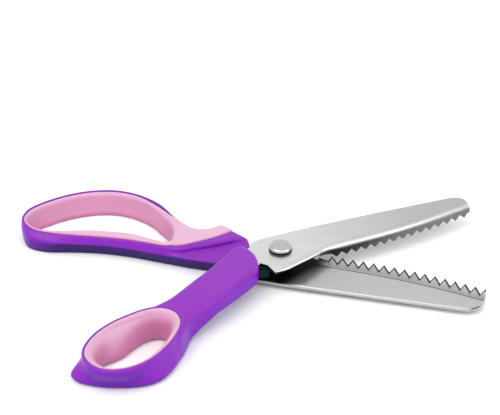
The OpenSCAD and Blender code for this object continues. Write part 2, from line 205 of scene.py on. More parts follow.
def steel(turn, inner_side):
    """Satin steel with grain along the blade, with painted light and shade: a dark outer wall, dark notch
    flanks, a painted shadow inside at the pivot and a tone that changes along the blade.
    """
    def build(n):
        along = (math.cos(math.radians(turn)), math.sin(math.radians(turn)), 0)
        out = (-along[1] * inner_side, along[0] * inner_side, 0)
        pos = n("ShaderNodeTexCoord").outputs["Object"]
        normal = n("ShaderNodeNewGeometry").outputs["Normal"]

        def dot(a, b):
            return n("ShaderNodeVectorMath", {0: a, 1: b}, operation="DOT_PRODUCT").outputs["Value"]

        x, y = dot(pos, along), dot(pos, out)
        n_along, n_out, nz = dot(normal, along), dot(normal, out), dot(normal, (0, 0, 1))
        fine = n.noise(n.coords(-turn, (60, 5200, 1500)), 1.0, 4, 0.65)
        wide = n.noise(n.coords(-turn, (14, 700, 200)), 1.0, 3, 0.6)
        cloud = n.noise(n.coords(-turn, (30, 90, 90)), 1.0, 3)
        speck = n.noise(n.coords(), 1500, 3, 0.6)
        streak = n.math("ADD", n.math("MULTIPLY", fine, 0.5), n.math("MULTIPLY", wide, 0.5))
        shade = n.math("ADD", n.math("MULTIPLY", streak, 0.55), n.math("MULTIPLY", cloud, 0.45))
        bright = n.ramp(shade, [(0.36, (0.52, 0.52, 0.52)), (0.64, (0.59, 0.59, 0.59))])
        # painted light: the plate's tone changes along the blade, the upper plate lighter near the pivot and
        # darker towards the tip, the lower plate a little darker near the pivot
        falloff_ends = (0.02, 0.06, 0.92, 1.0) if inner_side > 0 else (0.0, 0.085, 1.20, 0.86)
        light_falloff = n.map_range(x, *falloff_ends, True)
        light_falloff = n("ShaderNodeCombineColor", {"Red": light_falloff, "Green": light_falloff, "Blue": light_falloff}).outputs[0]
        bright = n.mix(1.0, bright, light_falloff, "MULTIPLY")
        mottle = n.math("ADD", n.math("MULTIPLY", cloud, 0.4), n.math("MULTIPLY", speck, 0.6))
        # painted shade: the outer face of the toothed wall is dark grey
        painted_dark_wall = n.ramp(mottle, [(0.35, (0.12, 0.12, 0.123)), (0.65, (0.26, 0.26, 0.263))])
        # painted shade: upright faces of the toothed wall are a darker grey than the plate
        shaded_wall = n.ramp(mottle, [(0.35, (0.38, 0.38, 0.38)), (0.65, (0.52, 0.52, 0.52))])
        upright = n.map_range(n.math("ABSOLUTE", nz), 0.25, 0.75, 1, 0, True)
        # painted shade: faces along the back edge are a flat darker grey, which dims their highlight
        back_edge_shade = n.math("MULTIPLY", n.map_range(n_out, -0.5, -0.2, 1, 0), n.map_range(y, -0.002, 0.003, 1, 0))
        bright = n.mix(back_edge_shade, bright, (0.46, 0.46, 0.46))
        outer = n.math("MULTIPLY", n.map_range(n_out, 0.2, 0.8, 0, 1, True),
                       n.map_range(x, 0.014, 0.022, 0, 1, True))
        col = n.mix(n.math("MULTIPLY", upright, n.map_range(y, 0.004, 0.007, 0, 1)), bright, shaded_wall)
        # painted shade: the outer wall is darker still near the pivot, fading out along the blade
        painted_dark_wall = n.mix(n.map_range(x, 0.03, 0.085, 0.75, 0, True), painted_dark_wall, (0.03, 0.03, 0.031))
        col = n.mix(n.math("MULTIPLY", outer, upright), col, painted_dark_wall)
        # notch flanks are painted dark as shade, darkest where they face back towards the pivot
        flank = n.math("MULTIPLY", n.map_range(n.math("ABSOLUTE", n_along), 0.3, 0.5, 0, 1),
                       n.map_range(n.math("ABSOLUTE", nz), 0.2, 0.4, 0, 1))
        flank_shade = n.mix(n.map_range(n_along, -0.2, 0.2), (0.006, 0.006, 0.007), (0.035, 0.035, 0.036))
        col = n.mix(flank, col, flank_shade)
        # grinding line at the foot of the wall
        bow = n.math("SINE", n.map_range(x, 0.020, BLADE_L * MM, 0, math.pi))
        foot = n.math("SUBTRACT", y, n.math("MULTIPLY", bow, EDGE_RISE * MM))
        off_line = n.math("ABSOLUTE", n.math("SUBTRACT", foot, LINE_Y * MM))
        line = n.map_range(off_line, 0.00018, 0.0004, 1, 0, True)
        face = n.map_range(n.math("MULTIPLY", nz, inner_side), 0.1, 0.5, 0, 1, True)
        line = n.math("MULTIPLY", n.math("MULTIPLY", line, face), n.map_range(x, 0.017, 0.020, 0, 0.95, True))
        col = n.mix(line, col, (0.02, 0.02, 0.02))
        # painted shadow: black round the pivot, up to a line across the plate, on each plate's inner face
        across = n.math("MULTIPLY", dot(pos, (1, -1, 0)), math.sqrt(0.5))
        edge = (0.0112, 0.0215) if inner_side > 0 else (0.001, 0.006)
        near = n.map_range(n.math("ADD", across, n.math("MULTIPLY", cloud, 0.002)), *edge, 1, 0, True)
        black = n.math("MULTIPLY", near, face)
        col = n.mix(black, col, (0.008, 0.008, 0.009))
        # painted shade: the edges at the heel and under the front edge beside the pivot are painted black too
        heel = n.math("MULTIPLY", n.map_range(n_along, -0.5, -0.3, 1, 0), n.map_range(x, -0.004, 0, 1, 0))
        wall = n.math("MULTIPLY", n.map_range(n_out, 0.3, 0.6), n.map_range(x, 0.010, 0.018, 1, 0, True))
        edge_shade = n.math("MULTIPLY", n.math("MAXIMUM", heel, wall), n.map_range(nz, 0.05, 0.3, 1, 0, True))
        col = n.mix(edge_shade, col, (0.012, 0.012, 0.013))
        rough = n.math("ADD", n.map_range(streak, 0.3, 0.7, 0.36, 0.28), n.math("MULTIPLY", black, 0.3))
        if inner_side < 0:
            rough = n.math("ADD", rough, n.map_range(x, 0.055, 0.095, 0, 0.2, True))
        rough = n.math("ADD", rough, n.math("MULTIPLY", flank, 0.25))
        bump = n("ShaderNodeBump", {"Height": streak, "Strength": 0.08, "Distance": 0.0001})
        return n("ShaderNodeBsdfPrincipled", {"Base Color": col, "Metallic": 1.0, "Roughness": rough,
                                              "Normal": bump.outputs[0]})
    return build


def turned_steel(n, painted_shade_below=-1.0):
    """Steel with the fine rings of a lathe, painted black as shade below a height in metres."""
    v = n("ShaderNodeSeparateXYZ", {"Vector": n.coords()})
    r = n.math("SQRT", n.math("ADD", n.math("MULTIPLY", v.outputs[0], v.outputs[0]),
                              n.math("MULTIPLY", v.outputs[1], v.outputs[1])))
    rings = n("ShaderNodeTexNoise", {"W": n.math("MULTIPLY", r, 9000), "Scale": 1.0, "Detail": 3.0},
              noise_dimensions="1D").outputs["Fac"]
    spots = n.noise(n.coords(), 600, 3)
    col = n.ramp(n.math("ADD", n.math("MULTIPLY", rings, 0.5), n.math("MULTIPLY", spots, 0.5)),
                 [(0.3, (0.42, 0.42, 0.415)), (0.7, (0.54, 0.54, 0.535))])
    # painted shade: black below that height
    above = n.map_range(v.outputs[2], painted_shade_below - 0.0001, painted_shade_below + 0.0001)
    col = n.mix(above, (0.01, 0.01, 0.01), col)
    bump = n("ShaderNodeBump", {"Height": rings, "Strength": 0.12, "Distance": 0.00005})
    return n("ShaderNodeBsdfPrincipled", {"Base Color": col, "Metallic": 1.0,
                                          "Roughness": n.map_range(spots, 0.3, 0.7, 0.3, 0.22),
                                          "Normal": bump.outputs[0]})


def dark_steel(n):
    v = n.noise(n.coords(), 900, 4)
    col = n.ramp(v, [(0.3, (0.05, 0.05, 0.05)), (0.7, (0.12, 0.12, 0.12))])
    return n("ShaderNodeBsdfPrincipled", {"Base Color": col, "Metallic": 1.0,
                                          "Roughness": n.map_range(v, 0.3, 0.7, 0.35, 0.55)})


def dark_nylon(n):
    v = n.noise(n.coords(), 1400, 4)
    bump = n("ShaderNodeBump", {"Height": v, "Strength": 0.2, "Distance": 0.00005})
    col = n.ramp(v, [(0.3, (0.002, 0.014, 0.014)), (0.7, (0.004, 0.026, 0.026))])
    return n("ShaderNodeBsdfPrincipled", {"Base Color": col,
                                          "Roughness": n.map_range(v, 0.3, 0.7, 0.3, 0.45),
                                          "Specular IOR Level": 0.12, "Normal": bump.outputs[0]})


def purple_plastic(n):
    """Satin moulded plastic: fine spark-erosion texture, slight flow marks, and painted shade that darkens
    the undersides.
    """
    co = n.coords()
    grain = n.noise(co, 2600, 3, 0.6)
    flow = n.noise(n.coords(20, (26, 60, 60)), 1.0, 3)
    nz = n("ShaderNodeSeparateXYZ", {"Vector": n("ShaderNodeNewGeometry").outputs["Normal"]}).outputs["Z"]
    y = n("ShaderNodeSeparateXYZ", {"Vector": co}).outputs["Y"]
    # painted shade: the colour darkens from up-facing towards down-facing faces, and faces on the near side
    # are kept out of the darkest shade
    up = n.math("MAXIMUM", n.map_range(nz, -0.45, 0.9, 0, 1, True), n.map_range(y, -0.006, 0, 0.17, 0))
    base = n.ramp(up, [(0.0, (0.012, 0.001, 0.07)), (0.045, (0.028, 0.002, 0.11)),
                       (0.15, (0.13, 0.006, 0.33)), (0.26, (0.18, 0.009, 0.42)),
                       (0.5, (0.205, 0.012, 0.41)), (1.0, (0.215, 0.022, 0.37))])
    tint = n.ramp(flow, [(0.35, (0.94, 0.92, 0.97)), (0.65, (1.0, 1.0, 1.0))])
    col = n.mix(1.0, base, tint, "MULTIPLY")
    bump = n("ShaderNodeBump", {"Height": grain, "Strength": 0.10, "Distance": 0.00004})
    return n("ShaderNodeBsdfPrincipled", {"Base Color": col,
                                          "Roughness": n.map_range(grain, 0.3, 0.7, 0.30, 0.40),
                                          "Specular IOR Level": 0.2, "Normal": bump.outputs[0]})


def pink_rubber(n):
    """Soft moulded rubber: very fine matte texture with faint mould lines round the inside of the loops, and
    painted shade on the steep walls.
    """
    co = n.coords()
    grain = n.noise(co, 3000, 3, 0.6)
    cloud = n.noise(co, 90, 3)
    geo = n("ShaderNodeNewGeometry").outputs["Normal"]
    nz = n("ShaderNodeSeparateXYZ", {"Vector": geo}).outputs["Z"]
    z = n("ShaderNodeSeparateXYZ", {"Vector": co}).outputs["Z"]
    # painted shade: steep and down-facing walls are a darker, deeper pink than up-facing faces
    up = n.map_range(nz, 0.0, 0.9, 0, 1, True)
    base = n.ramp(up, [(0.0, (0.50, 0.165, 0.33)), (0.45, (0.54, 0.23, 0.39)),
                       (0.8, (0.575, 0.31, 0.45)), (1.0, (0.59, 0.345, 0.48))])
    tint = n.ramp(cloud, [(0.3, (0.96, 0.94, 0.95)), (0.7, (1.0, 1.0, 1.0))])
    col = n.mix(1.0, base, tint, "MULTIPLY")
    drift = n.noise(n.coords(0, (40, 40, 10)), 1.0, 2)
    wobble = n.math("ADD", n.math("MULTIPLY", z, 2600), n.math("MULTIPLY", drift, 3.0))
    lines = n.map_range(n.math("SINE", wobble), 0.82, 1.0, 0, 1, True)
    side = n.map_range(n.math("ABSOLUTE", nz), 0.15, 0.45, 1, 0, True)
    height = n.math("ADD", grain, n.math("MULTIPLY", n.math("MULTIPLY", lines, side), -1.5))
    bump = n("ShaderNodeBump", {"Height": height, "Strength": 0.14, "Distance": 0.00006})
    return n("ShaderNodeBsdfPrincipled", {"Base Color": col,
                                          "Roughness": n.map_range(grain, 0.3, 0.7, 0.50, 0.62),
                                          "Specular IOR Level": 0.35, "Sheen Weight": 0.15,
                                          "Sheen Roughness": 0.5, "Normal": bump.outputs[0]})


MATS = {
    "low_steel": material("steel_lower_blade", steel(LOW_DIR, 1)),
    "up_steel": material("steel_upper_blade", steel(UP_DIR, -1)),
    "nut": material("steel_nut", turned_steel),
    "screw": material("steel_turned", lambda n: turned_steel(n, (HEAD_TOP - 1.4) * MM)),
    "dark": material("steel_dark", dark_steel),
    "nylon": material("nylon_dark_green", dark_nylon),
    "purple": material("plastic_purple", purple_plastic),
    "pink": material("rubber_pink", pink_rubber),
}


def dress(node, mat):
    o = NODES[node]
    o.data.materials.clear()
    o.data.materials.append(MATS[mat])


for node, mat in (("head_washer", "dark"), ("spring_washer", "dark"), ("pivot_bush", "nylon"),
                  ("pivot_nut", "nut"), ("pivot_screw", "screw"), ("heel_block", "nylon"),
                  ("lower_blade", "low_steel"), ("upper_blade", "up_steel"),
                  ("thumb_handle", "purple"), ("finger_handle", "purple"),
                  ("thumb_grip", "pink"), ("finger_grip", "pink")):
    dress(node, mat)


def new_piece(name, verts, faces, mat, body, node, sharp=None):
    """A visible mesh from points in mm. It rides on its body and stands in for one CAD node."""
    mesh = bpy.data.meshes.new(name)
    points = [tuple(v) for v in np.asarray(verts, float) * MM]
    mesh.from_pydata(points, [], [tuple(int(i) for i in f) for f in faces])
    mesh.validate()
    mesh.update()
    o = bpy.data.objects.new(name, mesh)
    bpy.context.scene.collection.objects.link(o)
    mesh.materials.append(MATS[mat])
    for p in mesh.polygons:
        p.use_smooth = True
    if sharp is not None:
        mesh.set_sharp_from_angle(angle=math.radians(sharp))
    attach(o, body)
    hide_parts(node)
    return o


# ---------------------------------------------------------------- outlines, in mm
def smooth_loop(points, n=8):
    """A closed curve through the points (Catmull-Rom), with n steps between each two."""
    p = np.asarray(points, float)
    t = (np.arange(n) / n)[:, None]
    a, b, c, d = (np.roll(p, k, 0)[:, None, :] for k in (1, 0, -1, -2))
    q = 0.5 * (2 * b + (c - a) * t + (2 * a - 5 * b + 4 * c - d) * t ** 2 + (3 * b - a - 3 * c + d) * t ** 3)
    return q.reshape(-1, 2)


THUMB_RIM = smooth_loop([(-88.2, -81), (-86.9, -88.6), (-82, -94.4), (-74.6, -96.5), (-65.6, -94.4),
                         (-56.8, -87.6), (-49.6, -77.4), (-45.4, -67.8), (-44.2, -60.3),
                         (-46.8, -53.6), (-53.4, -50), (-61, -51.4), (-68.6, -55.6), (-77.3, -62.2),
                         (-84.6, -71.2)])
THUMB_FOOT = smooth_loop([(-93.2, -82.6), (-91.4, -87.4), (-84.8, -90.8), (-75.5, -92.5),
                          (-63.4, -92), (-54, -88), (-47.9, -79.3), (-44.1, -68.7), (-42.3, -60.6),
                          (-43.9, -54), (-52.5, -51.4), (-60.7, -53.4), (-68, -57.4),
                          (-77.4, -64.4), (-86.8, -73.2)])
THUMB_WELL = smooth_loop([(-86.5, -80.5), (-84.5, -85.9), (-80, -88.8), (-74.5, -89.8),
                          (-66, -88.4), (-57.8, -83.8), (-51.2, -76), (-47.2, -67.3),
                          (-45.9, -60.8), (-48.1, -55.2), (-54, -52.6), (-60.6, -53.9), (-68, -58),
                          (-76.2, -64.6), (-83.2, -72.6)])
THUMB_NECK = smooth_loop([(-10.2, -15.4), (-11.7, -8.6), (-14.7, -3.8), (-18.6, -1.6), (-23, -5.2),
                          (-32.2, -19), (-41.2, -31.2), (-50.2, -42.4), (-58.5, -49.6), (-63, -57),
                          (-59.5, -67), (-52, -72), (-45.6, -69.6), (-42.6, -62.2), (-40.4, -57.6),
                          (-36.3, -52.8), (-27.5, -43.9), (-18.4, -32.3), (-12.6, -24.4),
                          (-10.5, -20.4)])
FINGER_RIM = smooth_loop([(-122, 30.2), (-120.4, 24.8), (-115.8, 20.2), (-108, 17.4), (-98.5, 15.4),
                          (-89.1, 14.1), (-79.7, 12.8), (-70.3, 11), (-60.8, 8.2), (-53, 6.2),
                          (-47.2, 9.6), (-45.2, 17), (-46.4, 26), (-50.8, 33.6), (-56.8, 41.7),
                          (-66.3, 49.4), (-76.1, 53.4), (-85.9, 54), (-95.4, 52.2), (-104.8, 48.3),
                          (-113.8, 42.6), (-119.6, 36.9)], 6)
FINGER_LOW = smooth_loop([(-122.1, 30.8), (-121.4, 24.4), (-118, 18.4), (-109, 14.5), (-99, 13.9),
                          (-89.1, 13.4), (-79.7, 12), (-70.2, 9.8), (-60.8, 6.7), (-51.4, 3.6),
                          (-42, 0.6), (-30.4, -2.3), (-20.6, -4.3), (-14.9, -3.6), (-14.1, 3),
                          (-14.3, 12.6), (-16.2, 16.7), (-22.6, 20), (-27.8, 23.4), (-33, 20.7),
                          (-37.8, 20), (-41.9, 21.8), (-46, 26.6), (-50.4, 33.2), (-56.3, 41.1),
                          (-66, 48.8), (-76, 52.8), (-85.9, 53.4), (-95.2, 51.6), (-104.6, 47.7),
                          (-113.5, 42), (-119.5, 36.5)], 6)
FINGER_HIGH = smooth_loop([(-60.5, 9), (-53, 5.1), (-46.7, 4.3), (-42.1, 5.7), (-37.5, 7),
                           (-32.8, 8.4), (-28.2, 9.9), (-23.5, 11.8), (-18.8, 13.8), (-14.9, 15.2),
                           (-16.2, 17.1), (-22.6, 20.6), (-27.8, 24.1), (-33, 21.4), (-37.6, 20.7),
                           (-42.2, 22.4), (-46.6, 27.4), (-52.8, 34), (-60, 25), (-62, 15)])
FINGER_TONGUE = smooth_loop([(-59, 12.5), (-53.5, 7.8), (-47, 7.2), (-39.4, 10), (-32.8, 13),
                             (-27, 16.3), (-22.4, 19.7), (-22.8, 21), (-27.2, 24.7), (-28.2, 24.5),
                             (-33, 21.8), (-37.8, 21.2), (-42.2, 23), (-46.6, 28), (-50.5, 32),
                             (-55, 31), (-60, 24)])


# ---------------------------------------------------------------- smooth solids from signed distances
def clamp01(v):
    return np.clip(v, 0.0, 1.0)


def step(a, b, v):
    t = clamp01((v - a) / (b - a))
    return t * t * (3 - 2 * t)


def smax(a, b, k):
    h = clamp01(0.5 + 0.5 * (a - b) / k)
    return b * (1 - h) + a * h + k * h * (1 - h)


def smin(a, b, k):
    return -smax(-a, -b, k)


def loop_distance(x, y, loop):
    """Signed distance from points to a closed outline, negative inside."""
    best = np.full(x.shape, 1e9)
    inside = np.zeros(x.shape, bool)
    nxt = np.roll(loop, -1, 0)
    for (ax, ay), (bx, by) in zip(loop, nxt):
        ex, ey = bx - ax, by - ay
        px, py = x - ax, y - ay
        t = clamp01((px * ex + py * ey) / (ex * ex + ey * ey))
        best = np.minimum(best, (px - t * ex) ** 2 + (py - t * ey) ** 2)
        cross = (ay > y) != (by > y)
        if ey != 0:
            inside ^= cross & (px < ex * py / ey)
    return np.where(inside, -1, 1) * np.sqrt(best)


class Plan:
    """Distances to several outlines, sampled once on a flat grid and read back anywhere."""

    def __init__(self, lo, hi, loops, h=0.5):
        self.lo, self.h = np.array(lo, float), h
        nx, ny = (np.ceil((np.array(hi) - lo) / h).astype(int) + 1)
        gx, gy = np.meshgrid(self.lo[0] + h * np.arange(nx), self.lo[1] + h * np.arange(ny), indexing="ij")
        self.maps = {k: loop_distance(gx, gy, v) for k, v in loops.items()}

    def at(self, x, y):
        u, v = (x - self.lo[0]) / self.h, (y - self.lo[1]) / self.h
        nx, ny = next(iter(self.maps.values())).shape
        i = np.clip(np.floor(u).astype(int), 0, nx - 2)
        j = np.clip(np.floor(v).astype(int), 0, ny - 2)
        fu, fv = u - i, v - j
        return {k: (m[i, j] * (1 - fu) * (1 - fv) + m[i + 1, j] * fu * (1 - fv)
                    + m[i, j + 1] * (1 - fu) * fv + m[i + 1, j + 1] * fu * fv) for k, m in self.maps.items()}


def surface(field, plan, lo, hi, h):
    """Quads near the zero surface of field(x, y, z, distances), moved towards it in three steps."""
    lo = np.array(lo, float)
    n = np.ceil((np.array(hi) - lo) / h).astype(int) + 1
    ax = [lo[i] + h * np.arange(n[i]) for i in range(3)]
    gx, gy = np.meshgrid(ax[0], ax[1], indexing="ij")
    flat = {k: v[:, :, None] for k, v in plan.at(gx, gy).items()}
    val = field(gx[:, :, None], gy[:, :, None], ax[2][None, None, :], flat)
    val = np.broadcast_to(val, tuple(n)).copy()
    val[np.abs(val) < 1e-9] = 1e-9
    ins = val < 0
    cell = tuple(n - 1)
    total, count = np.zeros(cell + (3,)), np.zeros(cell)
    corner = [(a, b, c) for a in (0, 1) for b in (0, 1) for c in (0, 1)]

    def part(a, arr):
        return arr[a[0]:a[0] + cell[0], a[1]:a[1] + cell[1], a[2]:a[2] + cell[2]]

    for a in corner:
        for d in range(3):
            if a[d]:
                continue
            b = tuple(a[i] + (i == d) for i in range(3))
            va, vb = part(a, val), part(b, val)
            hit = (va < 0) != (vb < 0)
            t = np.where(hit, va / np.where(hit, va - vb, 1), 0)
            for i in range(3):
                total[..., i] += np.where(hit, a[i] + (t if i == d else 0), 0)
            count += hit
    active = count > 0
    ids = np.full(cell, -1)
    where = np.argwhere(active)
    ids[active] = np.arange(len(where))
    p = lo + h * (where + total[active] / count[active][:, None])
    faces = []
    for d in range(3):
        e, f = (d + 1) % 3, (d + 2) % 3
        sl0 = [slice(None)] * 3
        sl1 = [slice(None)] * 3
        sl0[d], sl1[d] = slice(0, n[d] - 1), slice(1, n[d])
        a, b = ins[tuple(sl0)], ins[tuple(sl1)]
        hit = np.argwhere(a != b)
        ok = (hit[:, e] > 0) & (hit[:, f] > 0) & (hit[:, e] < n[e] - 1) & (hit[:, f] < n[f] - 1)
        hit = hit[ok]
        quad = []
        for de, df in ((1, 1), (0, 1), (0, 0), (1, 0)):
            c = hit.copy()
            c[:, e] -= de
            c[:, f] -= df
            quad.append(ids[c[:, 0], c[:, 1], c[:, 2]])
        quad = np.stack(quad, 1)
        flip = ~a[hit[:, 0], hit[:, 1], hit[:, 2]]
        quad[flip] = quad[flip][:, ::-1]
        faces.append(quad)
    faces = np.concatenate(faces)

    def value(q):
        return field(q[:, 0], q[:, 1], q[:, 2], plan.at(q[:, 0], q[:, 1]))

    eps = 0.08           # half the span over which a slope is measured
    least_slope = 0.15   # squared, so that a flat field doesn't throw a point far
    longest = 0.35 * h   # most that a point moves in one step
    for _ in range(3):
        v = value(p)
        g = np.stack([(value(p + d) - value(p - d)) / (2 * eps) for d in eps * np.eye(3)], 1)
        m = v / np.maximum((g ** 2).sum(1), least_slope)
        move = -m[:, None] * g
        length = np.linalg.norm(move, axis=1, keepdims=True)
        p = p + move * np.minimum(1, longest / np.maximum(length, 1e-9))
    return p, faces


def largest_body(p, faces):
    """The mesh without any specks that aren't joined to its largest body."""
    label = np.arange(len(p))
    while True:
        low = label.copy()
        np.minimum.at(low, faces.ravel(), np.repeat(label[faces].min(1), 4))
        low = low[low]
        if (low == label).all():
            break
        label = low
    owner = label[faces[:, 0]]
    ids, counts = np.unique(owner, return_counts=True)
    used, faces = np.unique(faces[owner == ids[counts.argmax()]], return_inverse=True)
    return p[used], faces.reshape(-1, 4)


# ---------------------------------------------------------------- thicknesses of both handles
WALL_T = 1.0                             # least thickness of a shell's wall
LINING_GAP = 0.05                        # between a lining and its shell
# a thickness at the rim, what it gains below the rim, and the depth at which it has gained it
LIP_T, LIP_GAIN, LIP_DEPTH = 0.5, 0.45, 1.2
LINING_T, LINING_GAIN, LINING_DEPTH = 0.65, 0.5, 3


def rim_t(deep):
    """Thickness of a shell's lip at a depth below its rim."""
    return LIP_T + LIP_GAIN * clamp01(deep / LIP_DEPTH)


def lining_t(deep):
    """Least thickness of a lining at a depth below its rim."""
    return LINING_T + LINING_GAIN * clamp01(deep / LINING_DEPTH)


# ---------------------------------------------------------------- thumb handle and its lining
NECK_TURN = math.radians(235.3)
NECK_U = (math.cos(NECK_TURN), math.sin(NECK_TURN))


def thumb_rim_z(y):
    """The loop's rim slopes down away from the pivot."""
    return THUMB_TOP - 0.7 + 0.055 * (y + 52)


def thumb_wall(z, d):
    """The loop's outer side, from its foot outline up to its rim outline."""
    s = step(2.2, 11.5, z)
    wall = d["foot"] * (1 - s) + d["rim"] * s
    return wall + 0.9 * (1 - step(0, 2.2, z)) - 0.2 * step(5, 11.5, z) * (1 - step(11.5, 15.6, z))


def thumb_outer(x, y, z, d):
    """Loop and neck joined. run is the distance from the pivot along the neck."""
    loop = smax(smax(thumb_wall(z, d), z - thumb_rim_z(y), 0.5), -z, 1.2)
    run = x * NECK_U[0] + y * NECK_U[1]
    side = d["neck"] + 0.15 * (1 - step(7.5, 9.5, z))
    fall = step(36, 62, run)
    top = THUMB_TOP * (1 - fall) + np.minimum(thumb_rim_z(y) + 0.1, THUMB_TOP) * fall
    soft = 2.2 + 1.5 * step(45, 66, run)
    under = MID_Z + 0.25 - (MID_Z + 0.25 - 1.6) * clamp01((run - 53) / 19)
    neck = smax(smax(side, z - top, soft), under - z, 1.0)
    return smin(loop, neck, 2.5 - 2.0 * step(11, 14.5, z))


def thumb_hole(x, y, z, d):
    """The opening in the shell, which the lining fills from inside."""
    s = clamp01((z + 2) / 18)
    lip = rim_t(np.maximum(thumb_rim_z(y) - z, 0))
    return smax(d["well"] * (1 - s) + (d["rim"] + lip) * s, thumb_wall(z, d) + WALL_T, 0.3)


def thumb_shell(x, y, z, d):
    return smax(thumb_outer(x, y, z, d), -thumb_hole(x, y, z, d), 0.25)


def thumb_lining(x, y, z, d):
    """The lining bulges into the loop below its rim, most at the two ends."""
    s = clamp01(z / 13) ** 1.6
    deep = np.maximum(thumb_rim_z(y) - z, 0)
    ends = step(-60, -48, x) + 0.8 * step(-76, -87, x)
    bulge = 0.5 + (3.7 + 2.3 * ends) * np.sqrt(1 - (1 - clamp01(deep / (6.5 + 6 * ends))) ** 2)
    far = step(0, 6, 0.8 * (y + 73) - 0.6 * (x + 66))
    flare = 1.5 * step(-57, -48, x) * (1 - step(0, 8, z)) + 3.6 * far * np.exp(-((x + 70.5) / 7.5) ** 2)
    low = d["well"] + 2.9 + 1.9 * step(-62, -76, x) + flare - 0.9 * (1 - step(0, 2.6, z))
    hole = thumb_hole(x, y, z, d)
    inner = smax(low * (1 - s) + (d["rim"] + bulge) * s, hole + lining_t(deep), 0.3)
    ring = smax(hole + LINING_GAP, -inner, 0.25)
    return smax(smax(ring, z - thumb_rim_z(y) + 0.12, 0.35), 0.4 - z, 0.6)


# ---------------------------------------------------------------- finger handle and its lining
POCKET_DEPTH, TONGUE_DEPTH = 1.6, 1.55   # below FINGER_TOP: the tongue's recess, and the tongue
ROUND_DROP, ROUND_WIDTH = 2.2, 4         # rounding of the lining over its inner edge at the neck


def finger_top(x, y):
    """Height of the handle: level loop and neck, then the slope down to the heel."""
    loop = 9.9 + 1.0 * step(14, 40, y)
    neck = 10.25
    z = loop + (neck - loop) * step(-62, -48, x)
    slope = MID_Z + 0.2 + (FINGER_TOP + 0.45 - MID_Z - 0.2) * (-13 - x) / 14
    return smin(z, slope, 0.5)


def finger_wall(x, z, d):
    """The outer side: the low outline, a crease, then the rim and land above it."""
    high = smin(d["rim"], d["high"], 1.2)
    ledge = step(-58, -48, x)
    raised = 1.5 * (1 - step(-114, -90, x))
    rise = (3.8 - raised) * (1 - ledge) + 0.9 * ledge
    t = clamp01((z - 6.4 - raised - 0.4 * ledge) / rise)
    wall = d["low"] * (1 - t) + high * t
    return wall + 1.9 * (1 - clamp01(z / 6.2)) * (0.4 + 0.6 * step(-120, -100, x))


def finger_outer(x, y, z, d):
    soft = 0.45 + 1.5 * step(-58, -48, x)
    return smax(smax(finger_wall(x, z, d), z - finger_top(x, y), soft), -z, 1.0)


def finger_hole(x, y, z, d):
    lip = rim_t(np.maximum(finger_top(x, y) - z, 0))
    inset = d["rim"] + lip + 1.2 * (1 - clamp01(z / FINGER_TOP))
    return smax(inset, finger_wall(x, z, d) + WALL_T, 0.3)


def finger_shell(x, y, z, d):
    pocket = np.maximum(d["tongue"], FINGER_TOP - POCKET_DEPTH - z)
    loop = smax(finger_outer(x, y, z, d), -finger_hole(x, y, z, d), 0.25)
    return smax(loop, -pocket, 0.2)


def finger_lining(x, y, z, d):
    """The ring inside the loop, joined to the tongue over the top of the neck."""
    near = 1 - step(14, 40, y)
    deep = np.maximum(FINGER_TOP - z, 0)
    far_bulge = 0.6 + 1.6 * np.sqrt(1 - (1 - clamp01(deep / 2)) ** 2)
    far_bulge = far_bulge + (0.42 + 0.05 * np.exp(-((x + 84) / 25) ** 2)) * deep
    near_w = 1.8 + 4.1 * step(-112, -86, x) - 0.7 * step(-75, -60, x)
    inset = near_w * near + far_bulge * (1 - near) - 0.7 * (1 - step(0, 2.4, z))
    inset = inset + 1.2 * step(-64, -50, x) * (1 - clamp01(z / FINGER_TOP))
    hole = finger_hole(x, y, z, d)
    inner = smax(d["rim"] + inset, hole + lining_t(deep), 0.3)
    ring = smax(hole + LINING_GAP, -inner, 1.2)
    round_over = ROUND_DROP * step(-68, -54, x) * (1 - clamp01(inner / ROUND_WIDTH)) ** 2
    crown = FINGER_TOP + 0.1 - 0.25 * near - round_over
    ring = smax(smax(ring, z - crown, 0.9), 0.4 - z, 0.6)
    top = finger_top(x, y) + 0.45 * clamp01(-d["tongue"]) - round_over
    tongue = smax(smax(d["tongue"] + LINING_GAP, d["high"], 0.1), z - top, 0.9)
    tongue = smax(tongue, FINGER_TOP - TONGUE_DEPTH - z, 0.1)
    return smax(smin(ring, tongue, 0.8), -inner, 0.6)


def build_handles():
    h = 0.4
    thumb = (Plan((-96, -98), (-8, 1), {"foot": THUMB_FOOT, "rim": THUMB_RIM, "well": THUMB_WELL,
                                        "neck": THUMB_NECK}),
             (-94.6, -97.2, -1), (-9.4, -0.4, THUMB_TOP + 1))
    finger = (Plan((-125, -7), (-11, 56), {"rim": FINGER_RIM, "low": FINGER_LOW, "high": FINGER_HIGH,
                                           "tongue": FINGER_TONGUE}),
              (-123.6, -6, -1), (-12.4, 55, FINGER_TOP + 1.2))
    shell, lining = ("purple", "purple_plastic"), ("pink", "pink_rubber")
    jobs = (("thumb_shell", thumb_shell, thumb, shell, "thumb_half", "thumb_handle"),
            ("thumb_lining", thumb_lining, thumb, lining, "thumb_half", "thumb_grip"),
            ("finger_shell", finger_shell, finger, shell, "finger_half", "finger_handle"),
            ("finger_lining", finger_lining, finger, lining, "finger_half", "finger_grip"))
    for name, field, where, (mat, slot), body, node in jobs:
        p, faces = largest_body(*surface(field, *where, h))
        p[:, 2] = np.maximum(p[:, 2], 0)
        new_piece(name, p, faces, mat, body, node)


build_handles()


